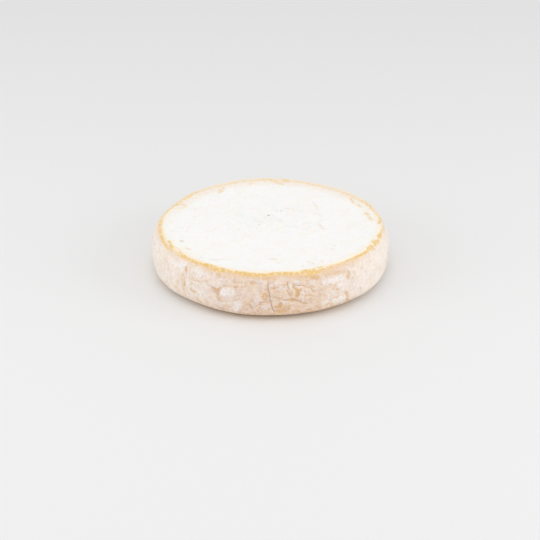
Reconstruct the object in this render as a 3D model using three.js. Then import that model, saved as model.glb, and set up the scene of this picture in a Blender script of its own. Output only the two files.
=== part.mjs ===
// A whole reblochon: a flat round of soft, washed-rind cheese, about 140 mm across and 29 mm high.
// It is one solid. The rind's rim, its belly, its sunken top, its creases and its cracks are relief on it.
//
// Millimetres, +Z up. The cheese rests on its flat underside, and the origin is the middle of that face.
// A bearing is an angle round the cheese in degrees: 0 at the front (-Y), 90 at the right (+X).

import * as THREE from "three";

// Driving dimensions of the section, from the middle of the underside round to the middle of the top
const DIAMETER = 140;
const HEIGHT = 28.5;
const FOOT_RADIUS = 55; // the flat that it rests on
const HEEL_HEIGHT = 6.5; // the soft lower edge rises this far before it meets the belly
const HEEL_INSET = 0.5; // and ends this far inside the full radius
const HEEL_FULLNESS = 0.6; // how square the heel is: 0 is a straight bevel, 1 a sharp corner
const BELLY_HEIGHT = 14; // where the side bulges most
const BELLY_SWELL = 0.35; // how far the side's guide points stand outside the full radius
const SHOULDER_DROP = 7.5; // how far under the top the side begins to turn in
const RIM_RADIUS = 65.7; // the ochre rim line, where the side turns into the top
const RIM_DROP = 0.95; // how far that line lies under the lip's crest
const LIP_RADIUS = 63.9; // the crest of the pressed lip round the top
const LIP_WIDTH = 5.5; // from the crest in to the level of the top
const LIP_RISE = 0.5; // how far the crest stands over the top just inside it
const DISH_EDGE = 4; // from the lip's inner edge in to where the top begins to sink
const DISH_DEPTH = 0.7; // how far the middle of the top has sunk below its edge

// Stations along each stretch of the section, and steps round the cheese
const FOOT_STEPS = 4;
const HEEL_STEPS = 4;
const SIDE_STEPS = 10;
const LIP_STEPS = 3;
const TOP_STEPS = 6;
const ROUND_STEPS = 180;

// Slow unevenness of the plan, of the rim and of the lip's height
const PLAN_WAVES = [
  // [waves round the cheese, height in mm, bearing of one crest]
  [2, 0.15, 135],
  [3, 0.11, 31],
  [4, 0.06, 4],
  [5, 0.18, 55],
  [7, 0.15, 94],
  [9, 0.2, 61],
];
const RIM_WAVES = [
  [4, 0.22, 15],
  [7, 0.18, 118],
  [13, 0.14, 64],
];
const LIP_WAVES = [
  [3, 0.09, 70],
  [8, 0.07, 21],
  [14, 0.05, 9],
];
const TOP_SWELLS = [
  // [wavelength in mm, height in mm, bearing it runs towards, shift in degrees]
  [74, 0.22, 25, 40],
  [47, 0.16, 112, 200],
  [31, 0.09, 66, 95],
  [23, 0.07, 160, 10],
];
const SIDE_LUMPS = [
  // [waves round the cheese, wavelength up the side in mm, height in mm, shift in degrees]
  [11, 46, 0.12, 30],
  [17, 31, 0.12, 140],
  [26, 23, 0.1, 250],
  [37, 17, 0.07, 80],
];

// Creases left in the side by the folds of the moulding cloth
const CREASES = [
  // [bearing at half height, lean in degrees from foot to rim, depth in mm, half width in mm]
  [-0.4, -3, 0.55, 1.6],
  [-45, -2.4, 0.35, 1.9],
  [40, 1.2, 0.35, 1.9],
  [104, -2.2, 0.45, 1.8],
  [158, 1.6, 0.35, 2],
  [-132, -1.8, 0.45, 1.8],
  [-88, 1.2, 0.3, 2],
];

// Cracks in the skin of the side: routes of [bearing, height]
const CRACK_DEPTH = 0.4;
const CRACK_WIDTH = 1.4;
const CRACKS = [
  [[0.6, 15.3], [2.9, 15.1], [7.1, 13.1], [9.8, 13.5], [16.3, 10.4]],
  [[7.8, 25], [8.1, 20], [8.7, 17.4], [10.2, 14]],
  [[10.4, 22.7], [12.7, 21.5], [15.3, 21.1], [17.2, 19.8]],
  [[-6, 11.4], [-3.7, 12.4], [-0.7, 12.1]],
  [[-30.7, 17.5], [-25.8, 15.7], [-25.2, 12.8], [-19.7, 13]],
  [[68, 8.6], [74, 12.8], [81, 12], [86, 16.2]],
  [[122, 20], [128, 16.2], [136, 15.2], [141, 10.5]],
  [[176, 10], [183, 13.4], [190, 12.4], [196, 17.6]],
  [[-160, 21.4], [-153, 17.2], [-146, 17.9]],
  [[-112, 9.1], [-106, 13.8], [-99, 14.7]],
];

const RADIUS = DIAMETER / 2;
const SHOULDER = HEIGHT - SHOULDER_DROP;
const SIDE_TOP = HEIGHT - 0.5 * SHOULDER_DROP; // the side's own relief fades out above this

// The section, from the middle of the underside out, up the side, over the lip and in to the top's middle
function sectionStations() {
  const at = (r, z) => new THREE.Vector2(r, z);
  const topLevel = HEIGHT - LIP_RISE;
  const dishEdge = LIP_RADIUS - LIP_WIDTH - DISH_EDGE;
  const heelTop = at(RADIUS - HEEL_INSET, HEEL_HEIGHT);
  const rim = at(RIM_RADIUS, HEIGHT - RIM_DROP);
  const crest = at(LIP_RADIUS, HEIGHT);

  const foot = new THREE.LineCurve(at(0, 0), at(FOOT_RADIUS, 0));
  const heel = new THREE.CubicBezierCurve(
    foot.v2,
    at(THREE.MathUtils.lerp(FOOT_RADIUS, RADIUS, HEEL_FULLNESS), 0),
    at(heelTop.x - HEEL_INSET, (1 - HEEL_FULLNESS) * HEEL_HEIGHT),
    heelTop,
  );
  const side = new THREE.CubicBezierCurve(
    heelTop,
    at(RADIUS + BELLY_SWELL, BELLY_HEIGHT),
    at(RADIUS + BELLY_SWELL, SHOULDER),
    rim,
  );
  const nose = new THREE.QuadraticBezierCurve(rim, at((rim.x + crest.x) / 2, HEIGHT), crest);
  const lip = new THREE.CubicBezierCurve(
    crest,
    at(LIP_RADIUS - LIP_WIDTH / 2, HEIGHT),
    at(LIP_RADIUS - LIP_WIDTH, topLevel),
    at(dishEdge, topLevel),
  );
  const dish = new THREE.QuadraticBezierCurve(
    lip.v3,
    at(dishEdge / 2, topLevel - DISH_DEPTH),
    at(0, topLevel - DISH_DEPTH),
  );

  const stretches = [
    [foot, FOOT_STEPS],
    [heel, HEEL_STEPS],
    [side, SIDE_STEPS],
    [nose, LIP_STEPS],
    [lip, LIP_STEPS],
    [dish, TOP_STEPS],
  ];
  const stations = stretches.flatMap(([curve, steps]) => curve.getPoints(steps).slice(1));
  return stations.slice(0, -1); // both ends lie on the axis and are added as single points
}

const radians = (degrees) => (degrees * Math.PI) / 180;
const smooth = (low, high, x) => THREE.MathUtils.smoothstep(x, low, high);

function waves(list, bearing) {
  return list.reduce((sum, [count, height, crest]) => {
    return sum + height * Math.cos(count * radians(bearing - crest));
  }, 0);
}

function topSwell(x, y) {
  return TOP_SWELLS.reduce((sum, [length, height, towards, shift]) => {
    const along = x * Math.sin(radians(towards)) - y * Math.cos(radians(towards));
    return sum + height * Math.cos((2 * Math.PI * along) / length + radians(shift));
  }, 0);
}

function sideLump(bearing, z) {
  return SIDE_LUMPS.reduce((sum, [count, length, height, shift]) => {
    const turn = count * radians(bearing) + radians(shift);
    return sum + height * Math.cos(turn) * Math.cos((2 * Math.PI * z) / length + radians(2 * shift));
  }, 0);
}

// The shortest way round from one bearing to another, in millimetres along the belly
function arcBetween(bearing, other) {
  const turn = THREE.MathUtils.euclideanModulo(bearing - other + 180, 360) - 180;
  return radians(turn) * RADIUS;
}

function groove(distance, width, depth) {
  return depth * Math.exp(-((distance / width) ** 2));
}

function creaseDepth(bearing, z) {
  return Math.max(
    ...CREASES.map(([at, lean, depth, width]) => {
      const middle = at + lean * (z / HEIGHT - 0.5);
      return groove(arcBetween(bearing, middle), width, depth);
    }),
  );
}

function crackDepth(bearing, z) {
  const here = new THREE.Vector3();
  const nearest = new THREE.Vector3();
  const line = new THREE.Line3();
  let closest = Infinity;
  for (const route of CRACKS) {
    const start = route[0][0];
    here.set(arcBetween(bearing, start), z, 0);
    for (let i = 1; i < route.length; i += 1) {
      line.start.set(arcBetween(route[i - 1][0], start), route[i - 1][1], 0);
      line.end.set(arcBetween(route[i][0], start), route[i][1], 0);
      line.closestPointToPoint(here, true, nearest);
      closest = Math.min(closest, nearest.distanceTo(here));
    }
  }
  return groove(closest, CRACK_WIDTH, CRACK_DEPTH);
}

// A point of the rind: a station of the section turned to its bearing, with the unevenness added
function rindPoint(station, bearing) {
  const { x: r, y: z } = station;
  const onSide = smooth(0, HEEL_HEIGHT, z) * (1 - smooth(SIDE_TOP, HEIGHT - RIM_DROP, z));
  const overTop = smooth(SHOULDER, HEIGHT - RIM_DROP, z);
  const nearRim = overTop * smooth(LIP_RADIUS - 2 * LIP_WIDTH, LIP_RADIUS, r);

  const outward =
    waves(PLAN_WAVES, bearing) * (r / RADIUS) +
    nearRim * waves(RIM_WAVES, bearing) +
    onSide * (sideLump(bearing, z) - creaseDepth(bearing, z) - crackDepth(bearing, z));
  const radius = r + outward;
  const x = radius * Math.sin(radians(bearing));
  const y = -radius * Math.cos(radians(bearing));
  const lift = overTop * topSwell(x, y) + nearRim * waves(LIP_WAVES, bearing);
  return new THREE.Vector3(x, y, z + lift);
}

// The closed skin: a ring of points at each station, joined by triangles, and one point in each face's middle
function rindGeometry() {
  const stations = sectionStations();
  const points = [new THREE.Vector3(0, 0, 0)];
  for (const station of stations) {
    for (let step = 0; step < ROUND_STEPS; step += 1) {
      points.push(rindPoint(station, (360 * step) / ROUND_STEPS));
    }
  }
  const topLevel = HEIGHT - LIP_RISE - DISH_DEPTH;
  points.push(new THREE.Vector3(0, 0, topLevel + topSwell(0, 0)));

  const last = points.length - 1;
  const at = (ring, step) => 1 + ring * ROUND_STEPS + (step % ROUND_STEPS);
  const faces = [];
  for (let step = 0; step < ROUND_STEPS; step += 1) {
    faces.push(0, at(0, step + 1), at(0, step));
    for (let ring = 0; ring < stations.length - 1; ring += 1) {
      const [a, b] = [at(ring, step), at(ring, step + 1)];
      const [c, d] = [at(ring + 1, step + 1), at(ring + 1, step)];
      faces.push(a, b, c, a, c, d);
    }
    faces.push(last, at(stations.length - 1, step), at(stations.length - 1, step + 1));
  }

  const geometry = new THREE.BufferGeometry().setFromPoints(points);
  geometry.setIndex(faces);
  centreOnOrigin(geometry);
  geometry.computeVertexNormals();
  return geometry;
}

// The uneven outline's middle goes over the origin, and the underside to z = 0
function centreOnOrigin(geometry) {
  geometry.computeBoundingBox();
  const middle = geometry.boundingBox.getCenter(new THREE.Vector3());
  geometry.translate(-middle.x, -middle.y, -geometry.boundingBox.min.z);
}

const rind = new THREE.MeshStandardMaterial({
  name: "rind",
  color: new THREE.Color().setRGB(0.93, 0.87, 0.8, THREE.SRGBColorSpace),
  roughness: 0.75,
  metalness: 0,
});

const cheese = new THREE.Mesh(rindGeometry(), rind);
cheese.name = "cheese_wheel";

const reblochon = new THREE.Group();
reblochon.add(cheese);

export default reblochon;
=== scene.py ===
import math
from functools import reduce

import bpy
from bpy.props import FloatProperty, FloatVectorProperty, IntProperty, PointerProperty
from bpy.types import Operator, Panel, PropertyGroup
from mathutils import Matrix, Vector
from mathutils.geometry import interpolate_bezier


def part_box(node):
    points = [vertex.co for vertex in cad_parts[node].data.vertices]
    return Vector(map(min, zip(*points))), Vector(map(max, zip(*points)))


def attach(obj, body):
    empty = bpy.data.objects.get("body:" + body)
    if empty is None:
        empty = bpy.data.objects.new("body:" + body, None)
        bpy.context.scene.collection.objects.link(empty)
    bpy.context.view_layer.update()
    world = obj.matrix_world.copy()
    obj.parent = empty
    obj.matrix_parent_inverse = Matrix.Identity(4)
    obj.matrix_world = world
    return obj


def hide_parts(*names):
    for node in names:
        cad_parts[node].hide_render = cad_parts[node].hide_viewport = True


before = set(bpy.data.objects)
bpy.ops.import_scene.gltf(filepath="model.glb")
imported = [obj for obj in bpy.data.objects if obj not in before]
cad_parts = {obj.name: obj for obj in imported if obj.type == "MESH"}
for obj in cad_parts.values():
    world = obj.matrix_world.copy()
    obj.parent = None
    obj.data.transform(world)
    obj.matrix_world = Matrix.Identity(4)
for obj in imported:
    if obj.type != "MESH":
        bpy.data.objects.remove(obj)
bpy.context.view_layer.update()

# A whole reblochon: one piece, the rind, which stands for the CAD solid of the whole cheese.
# Metres in the mesh and the stage. The rind's patterns are worked out in millimetres, as in the CAD source.
# A bearing is an angle round the cheese in degrees: 0 at the front (-Y), 90 at the right (+X).

bl_info = {
    "name": "Reblochon",
    "version": (1, 0, 0),
    "blender": (4, 5, 0),
    "location": "3D View > Sidebar > Reblochon",
    "description": "Models a whole reblochon with its rind, and sets a plain studio round it",
    "category": "Add Mesh",
}

MM = 0.001
MIDDLE = Vector((0, 0, 0.015))  # of the cheese, for the lights and the camera

# What the mesh keeps at its points: each one's place on the smooth section, and the broad marks
REST_PLACE = "rest_place"
SOFT_MASKS = ("mould", "stains", "brown_stains", "rim_line", "haze", "streaks")

# Slow unevenness: (waves round the cheese, height in mm, bearing of one crest)
PLAN_WAVES = [(2, 0.15, 135), (3, 0.11, 31), (4, 0.06, 4), (5, 0.18, 55), (7, 0.15, 94), (9, 0.2, 61)]
RIM_WAVES = [(4, 0.22, 15), (7, 0.18, 118), (13, 0.14, 64)]
LIP_WAVES = [(3, 0.09, 70), (8, 0.07, 21), (14, 0.05, 9)]
# (wavelength in mm, height in mm, bearing it runs towards, shift in degrees)
TOP_SWELLS = [(74, 0.22, 25, 40), (47, 0.16, 112, 200), (31, 0.09, 66, 95), (23, 0.07, 160, 10)]
# (waves round the cheese, wavelength up the side in mm, height in mm, shift in degrees)
SIDE_LUMPS = [(11, 46, 0.12, 30), (17, 31, 0.12, 140), (26, 23, 0.1, 250), (37, 17, 0.07, 80)]

# Creases of the moulding cloth: (bearing at half height, lean from foot to rim, depth, half width in mm)
CREASES = [
    (-0.4, -3, 0.55, 1.6),
    (-45, -2.4, 0.35, 1.9),
    (40, 1.2, 0.35, 1.9),
    (104, -2.2, 0.45, 1.8),
    (158, 1.6, 0.35, 2),
    (-132, -1.8, 0.45, 1.8),
    (-88, 1.2, 0.3, 2),
]

# Marks on the side: (half width in mm, strength, route of (bearing, height in mm) points)
CRACKS = [
    (0.38, 0.85, [(0.7, 15.4), (3, 15.1), (5.4, 14.1), (6.4, 13.3), (11.4, 13), (14, 11.6), (17, 9.9)]),
    (0.36, 0.75, [(10.4, 13.6), (9.4, 16), (7.9, 18.5), (8.6, 20), (8.1, 21.4), (8.2, 24.2)]),
    (0.36, 0.85, [(10.3, 22.6), (11.8, 21.8), (15, 21.2), (17.8, 19.6)]),
    (0.36, 0.9, [(-7, 9.5), (-5.6, 10.4), (-4.4, 12), (-0.7, 12.2)]),
    (0.36, 0.65, [(-30, 17.8), (-27, 17.2), (-25.4, 16.4)]),
    (0.36, 0.9, [(19.2, 19.4), (20.4, 16.8)]),
    (0.33, 0.4, [(-17.6, 24.3), (-16, 23.2), (-13, 23), (-11, 23.6), (-7.8, 23.6), (-4, 22.9)]),
    (0.33, 0.4, [(-25, 10), (-20.4, 10.8), (-17.4, 11.7)]),
    (0.38, 0.8, [(68, 8.6), (74, 12.8), (81, 12), (86, 16.2)]),
    (0.36, 0.9, [(122, 20), (128, 16.2), (136, 15.2), (141, 10.5)]),
    (0.36, 0.9, [(176, 10), (183, 13.4), (190, 12.4), (196, 17.6)]),
    (0.38, 0.8, [(-160, 21.4), (-153, 17.2), (-146, 17.9)]),
    (0.38, 0.8, [(-112, 9.1), (-106, 13.8), (-99, 14.7)]),
    (0.33, 0.5, [(131.6, 15.8), (133, 19.4)]),
    (0.33, 0.5, [(188.6, 12.6), (187.6, 9.2)]),
    (0.33, 0.5, [(-153, 17.2), (-151.6, 13.8)]),
    (0.33, 0.5, [(-106, 13.8), (-107.6, 17)]),
]
# The front seam's line: partly a brown mark, partly painted shade in the bottom of the crease.
SEAM = [(0.38, 1, [(-1.2, 22.4), (-0.9, 18.6), (-0.4, 16.2), (0.38, 10.4), (1.1, 7.4), (1.8, 5.8)])]
BROWN_STAINS = [
    (1.2, 1, [(-25.1, 17.2), (-25, 14.4)]),
    (0.8, 0.75, [(-23.9, 18.8), (-25, 17.2)]),
    (0.8, 0.85, [(-28.6, 17.4), (-26, 16.4)]),
    (0.8, 0.4, [(-24, 12.8), (-23, 12.4), (-19.4, 12.6)]),
    (0.7, 0.6, [(-0.9, 25.6), (-0.7, 22.8)]),
    (0.9, 0.7, [(38.2, 10.8), (39.6, 8.4)]),
    (1, 0.9, [(38.8, 6.2), (39.6, 5.4)]),
    (0.8, 0.9, [(40, 4.9), (42.4, 2.6), (45, 1.2)]),
    (0.7, 0.6, [(38.8, 20.6), (40, 19.4)]),
    (0.8, 0.6, [(-44.8, 21.6), (-44.2, 18.2)]),
    (0.6, 0.5, [(-42.2, 20.6), (-40, 19.4), (-39, 18.2), (-36, 18.6), (-32.5, 19.5), (-30.6, 20.6)]),
    (1.4, 0.5, [(-26, 6.8), (-23.6, 5), (-22, 5.4)]),
    (1, 1, [(-9.8, 10.8), (-9, 9.6)]),
    (0.7, 0.9, [(-17.2, 20.6), (-15.8, 20.7)]),
    (0.6, 0.8, [(47, 10.8), (47.8, 9.2)]),
    (1.2, 0.9, [(-27.6, 16.6), (-26, 15.2)]),
    (0.6, 0.6, [(-12.8, 9.4), (-11.4, 7.6)]),
    (0.6, 0.7, [(-8.8, 9.2), (-8.2, 7), (-6.8, 5.8)]),
    (0.6, 0.6, [(-5.4, 8.6), (-3.8, 7.4), (-4.2, 5.8)]),
    (0.8, 0.6, [(77, 10.2), (79.6, 8.4)]),
    (1, 0.8, [(122, 20), (119.6, 17.4)]),
    (0.7, 0.6, [(146, 14), (149, 11.6)]),
    (1, 0.8, [(189, 9), (192.4, 6.6)]),
    (0.8, 0.7, [(-147, 19.6), (-144.6, 21.4)]),
    (1, 0.6, [(-123, 12), (-120.4, 10.2)]),
    (0.8, 0.7, [(-98, 16.4), (-95.4, 18)]),
]
STAINS = [
    (0.8, 1.2, [(10.9, 21.1), (12.3, 19.7), (12.9, 18.2)]),
    (1.2, 1.3, [(12.9, 18.6), (12.6, 17.2), (12.4, 15.8)]),
    (0.7, 1.1, [(14.3, 19.4), (13.2, 18.2)]),
    (0.8, 1, [(-3.6, 25.6), (-0.4, 26)]),
    (0.9, 1, [(1.2, 26.4), (2, 25.6)]),
    (0.9, 0.75, [(0.8, 21), (3.6, 21)]),
    (0.6, 0.65, [(6.2, 21), (7.2, 22.4)]),
    (0.8, 0.4, [(8, 22), (8.4, 23.6)]),
    (0.8, 0.6, [(18, 19.8), (19.8, 19.9), (21, 19.5)]),
    (0.45, 0.95, [(16.2, 15.2), (18.4, 15.3), (20, 14.8)]),
    (0.9, 0.9, [(9.9, 13.9), (10.3, 13.4)]),
    (1.2, 1.3, [(4.7, 11.2), (4.1, 9.6)]),
    (0.55, 1, [(1.7, 9), (4.2, 9.2)]),
    (1.5, 0.75, [(3.3, 6.4), (5, 6.1), (6.8, 7)]),
    (0.9, 1, [(8, 8.6), (8.7, 7.8)]),
    (0.45, 0.65, [(6.2, 10), (9, 9.6), (13, 10.6)]),
    (1.3, 0.65, [(18.2, 5.4), (19.8, 4.8)]),
    (0.7, 0.6, [(21.8, 6.9), (24.4, 5.8)]),
    (0.9, 0.6, [(27.6, 6.9), (28.6, 7.6)]),
    (1.4, 0.6, [(29.6, 4.4), (32.4, 3.8), (36, 3)]),
    (0.6, 0.5, [(33.9, 18.7), (34.9, 19.2)]),
    (0.9, 0.75, [(14, 26.2), (18.6, 25.8)]),
    (1.6, 0.9, [(20, 25), (22.8, 24.3)]),
    (0.7, 0.9, [(-4, 15.6), (-2.5, 17.8), (-1.2, 16), (-2.4, 13.7), (-4, 15.6)]),
    (1.3, 0.45, [(-2.9, 15.8), (-2.3, 15.6)]),
    (0.8, 0.4, [(-13.4, 17), (-11.6, 16), (-12.4, 14)]),
    (0.7, 0.75, [(-9, 13.2), (-8, 12.6)]),
    (1, 0.5, [(-14.4, 7), (-11.6, 6.8), (-8.6, 5.6)]),
    (0.8, 0.5, [(-5.2, 8.4), (-3.8, 6.6)]),
    (0.5, 0.6, [(-22, 7.6), (-18.6, 7.5)]),
    (0.6, 0.6, [(-20.6, 20.2), (-18.8, 20.6)]),
    (0.9, 0.35, [(-31.8, 20.6), (-31.2, 18.6)]),
    (1, 0.75, [(-27, 25.2), (-25.6, 24.8)]),
    (1.2, 0.7, [(-45.3, 23.2), (-44.9, 21.6)]),
    (0.6, 0.75, [(-46, 18), (-44.8, 14.6), (-45.6, 11.6)]),
    (2, 0.46, [(-46.6, 19), (-46, 12), (-45.6, 6)]),
    (1.3, 0.75, [(-41, 11.8), (-39, 10.8)]),
    (1, 0.9, [(38.2, 10.6), (39.5, 8.2), (39, 5.8)]),
    (1.2, 0.7, [(40.8, 22.4), (40.2, 20.4), (39.8, 18.8)]),
    (0.7, 0.7, [(-43.4, 11.6), (-42.8, 8)]),
    (1.4, 0.65, [(-37.4, 6.6), (-35.2, 5.2)]),
    (0.7, 0.6, [(-50, 13.8), (-49.2, 11.6)]),
    (0.9, 0.6, [(-25.4, 12.8), (-24.4, 11.6)]),
    (1.3, 0.5, [(-5, 8.6), (-1.6, 6.2)]),
    (0.9, 0.5, [(11.4, 13), (14, 11.9), (16.4, 10.4)]),
    (1.4, 0.45, [(11.6, 8.8), (15, 8)]),
    (0.8, 0.5, [(26.6, 11.4), (27.5, 9.8)]),
    (1.5, 0.5, [(27.4, 24.6), (33, 24.4), (39.6, 23.4)]),
    (1.2, 0.8, [(84, 12.6), (86.4, 9.8)]),
    (0.8, 0.6, [(92, 20.6), (95, 19.4)]),
    (2.2, 0.42, [(103.2, 23), (104.4, 12)]),
    (1.3, 0.5, [(105.4, 9), (103.8, 5.6)]),
    (1.3, 0.6, [(128.6, 15.4), (131, 13.4), (130.4, 11.6)]),
    (1.4, 0.6, [(139, 8.6), (143.4, 6.4)]),
    (0.9, 0.5, [(150, 21.8), (154.6, 20.4)]),
    (2.2, 0.42, [(158, 20), (158.8, 10)]),
    (1.6, 0.7, [(171, 5.6), (175.6, 7.4)]),
    (1.6, 0.55, [(183, 14.2), (186.4, 17), (185.4, 19)]),
    (1.1, 0.6, [(-168, 9.4), (-163.6, 6.6)]),
    (0.8, 0.7, [(-152.6, 17), (-150.4, 14)]),
    (2.2, 0.42, [(-132.8, 21.6), (-131.8, 12)]),
    (1.1, 0.6, [(-130.8, 9), (-134, 5.6)]),
    (0.8, 0.6, [(-119, 19.8), (-115.6, 21)]),
    (1.3, 0.6, [(-105.8, 13.6), (-104, 10.6)]),
    (2, 0.4, [(-88.4, 19), (-87.6, 9)]),
]
MOULD = [
    (2.8, 1, [(-21.8, 16.2), (-19, 17)]),
    (2, 0.6, [(-29.4, 20), (-26.6, 20.2)]),
    (0.9, 0.3, [(-24.6, 21), (-23.4, 21.6)]),
    (1.7, 0.85, [(-16.8, 6.4), (-15.4, 9.6), (-13.6, 11)]),
    (1.1, 0.5, [(-23.4, 9), (-18.4, 9.6)]),
    (1.6, 0.6, [(-7.6, 19.4), (-5.6, 17), (-5.2, 14)]),
    (0.8, 0.65, [(-13.4, 24.4), (-9, 24.8), (-5, 24.1), (-2.6, 23.6)]),
    (1.8, 0.3, [(-31.5, 8.6), (-29, 9)]),
    (1.8, 0.35, [(1.6, 23.8), (4.4, 23.6)]),
    (1, 0.75, [(9.3, 21.8), (9.5, 20.4)]),
    (0.9, 0.4, [(11.4, 24), (13.4, 23.6)]),
    (1.4, 0.25, [(15.2, 18.4), (18, 17.8)]),
    (0.9, 0.55, [(6.4, 11.6), (11.2, 11.4)]),
    (0.5, 0.5, [(0.2, 19), (0.9, 14.6), (1.3, 10.6)]),
    (0.5, 0.75, [(0.3, 7.6), (1.3, 5)]),
    (2.1, 0.85, [(26.8, 20.6), (31, 20.2), (36, 20.2)]),
    (2, 0.75, [(34, 17), (36.6, 15.4), (35.6, 13.4)]),
    (1.8, 1, [(31.4, 8), (34, 8.2), (36.8, 8.6)]),
    (1.4, 0.9, [(25.2, 8.2), (27, 8.6)]),
    (1.8, 0.7, [(-56, 21), (-51, 23), (-46.8, 24.2)]),
    (0.7, 1, [(-43.9, 24.6), (-42.9, 18), (-42.4, 12), (-42.6, 8.6)]),
    (1.8, 0.7, [(-40.4, 24), (-36, 23)]),
    (1.1, 0.85, [(-38.6, 17.2), (-34.6, 17)]),
    (2, 0.6, [(30.4, 13.6), (34.4, 12)]),
    (1.6, 0.4, [(22.4, 16.6), (26, 15)]),
    (1.8, 0.5, [(-31.6, 17), (-30.6, 12)]),
    (2, 0.5, [(-33, 8.4), (-29.6, 7)]),
    (1, 0.5, [(-13, 22), (-11, 21.6)]),
    (0.7, 0.6, [(-24, 9), (-18.4, 10.5), (-13.6, 12)]),
    (2, 0.35, [(5.6, 2.6), (13, 3)]),
    (2.6, 0.9, [(112, 15), (115, 17.6)]),
    (1.8, 0.7, [(96, 11.6), (98.6, 8.8)]),
    (2.2, 0.8, [(134, 20.4), (138, 21.6)]),
    (1.6, 0.7, [(150.6, 8), (153.6, 6.4)]),
    (2.4, 0.8, [(166, 17.4), (170, 19.6)]),
    (1.8, 0.8, [(-176, 20.8), (-171, 22)]),
    (2, 0.8, [(-158, 12), (-155, 9.4)]),
    (2.8, 0.9, [(-139, 13), (-136.6, 9.6)]),
    (1.6, 0.7, [(-126, 18.4), (-122.6, 17)]),
    (2.2, 0.8, [(-110, 19.6), (-106, 20.8)]),
    (1.8, 0.7, [(-97, 8), (-93.6, 9.8)]),
]
# Strokes along the ochre rim line: (half width in mm, strength, route of (bearing, mm down the side))
RIM_STROKES = [
    (1.4, 0.6, [(-95, -1.2), (-84, -0.9), (-76, -0.5), (-71, 0)]),
    (1, 0.6, [(-71, 0), (-67, 0.8), (-63, 1.4)]),
    (0.9, 0.9, [(-67, -1.9), (-64, -1.3), (-61.6, -0.8), (-60, -0.4)]),
    (1, 0.42, [(-62, 1), (-57, 0.4), (-52, 0.5), (-47, 0.2)]),
    (0.7, 0.6, [(-54, -1.5), (-49, -1)]),
    (1, 0.75, [(-51, -0.6), (-45, -0.3), (-37, -0.3)]),
    (1.3, 1, [(-35.4, -0.3), (-32, -0.8), (-28, -0.3), (-24, -0.5)]),
    (0.8, 0.7, [(-31, 0.8), (-26, 0.9)]),
    (0.9, 0.8, [(-23.5, -0.8), (-20, -0.4), (-15, -0.4)]),
    (1.1, 1, [(-14.6, -0.2), (-10, 0.2), (-1, 0.3)]),
    (0.9, 1, [(-0.4, -0.4), (2, -0.9), (5, -0.9)]),
    (0.9, 1, [(6.4, -0.9), (10.6, -0.6)]),
    (0.8, 0.8, [(10.6, -0.4), (15, -0.5)]),
    (1, 0.85, [(15, -0.5), (22, -0.4)]),
    (0.7, 0.5, [(15.5, -1.6), (21, -1.7), (27.5, -1.5)]),
    (0.9, 0.75, [(17.6, 0.9), (21, 1.4), (25, 0.8)]),
    (0.7, 0.6, [(25.4, 0), (32, 0.3)]),
    (0.5, 0.5, [(26, -1.1), (34, -1)]),
    (0.7, 0.6, [(34.6, -0.5), (45, -0.2)]),
    (0.8, 0.85, [(45.4, 0), (52, 0.2), (59, -0.1)]),
    (1.2, 0.85, [(60, -0.6), (63, -0.4)]),
    (0.6, 0.7, [(61.6, 1.2), (63.8, 1.7)]),
    (1.2, 0.75, [(66.4, 0), (70, 0.3), (72.6, 0.7)]),
    (1.1, 0.55, [(67, -1.8), (70, -1.4)]),
    (1.4, 1, [(75.6, -0.2), (77.2, 0.3), (79, 0.7)]),
    (0.9, 0.55, [(80, 0.5), (85, 1), (91, 1.9)]),
    (0.9, 0.7, [(90, -1.8), (96, -0.9)]),
    (0.8, 0.45, [(97, -1.2), (110, -2.6), (124, -3.4)]),
    (0.7, 0.45, [(124, -3.4), (146, -3.7), (160, -3.3), (179, -3.7)]),
    (0.8, 0.4, [(-179, -3.6), (-164, -3.3), (-150, -3.5), (-136, -2.8)]),
    (0.9, 0.5, [(-136, -2.8), (-120, -2.4), (-106, -1.8), (-94, -1.2)]),
    (0.9, 0.7, [(108, 0.7), (113, 0.5), (118, 0.8)]),
    (0.7, 0.6, [(119, 0), (124, 0.3)]),
    (1, 0.85, [(126, 0.8), (135, 0.3), (143, 0.8)]),
    (0.7, 0.6, [(144, 1.5), (152, 1.1)]),
    (0.9, 0.75, [(153, 0.1), (163, 0.6), (170, 0.1)]),
    (0.6, 0.5, [(166, 1.6), (172, 1.3)]),
    (0.9, 0.85, [(174, 0.6), (179.9, 0.3)]),
    (0.9, 0.85, [(-179.9, 0.3), (-171, 0.8), (-163, 0.2)]),
    (0.8, 0.6, [(-160, 1.2), (-151, 0.7)]),
    (1, 0.85, [(-149, 0.2), (-140, 0.6), (-132, 0)]),
    (0.8, 0.65, [(-129, 0.9), (-120, 0.4)]),
    (0.9, 0.75, [(-118, -0.2), (-112, 0.4), (-108, 0.5)]),
    (0.7, 1.3, [(-63, -1.2), (-60.6, -0.8)]),
    (0.7, 1.3, [(-33.5, -0.9), (-31, -0.9)]),
    (0.7, 1.3, [(-30.6, 0.1), (-28.8, 0.3)]),
    (0.7, 1.3, [(-26, -0.3), (-24.2, -0.2)]),
    (0.7, 1.3, [(-14, -0.5), (-11, -0.3)]),
    (0.6, 1.3, [(-9.4, 0), (-6.4, 0.2)]),
    (0.5, 1.3, [(-4, -0.1), (-1, 0)]),
    (0.6, 1.3, [(2.6, -0.9), (4.6, -0.9)]),
    (0.7, 1.3, [(7.8, -0.6), (10.2, -0.4)]),
    (0.6, 1.2, [(16, -0.4), (20, -0.2)]),
    (0.5, 1.2, [(47, 0), (50, 0.2)]),
    (0.5, 1.2, [(51.4, 0.1), (54, 0.1)]),
    (0.7, 1.3, [(76.4, 0.1), (78.4, 0.5)]),
]

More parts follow.
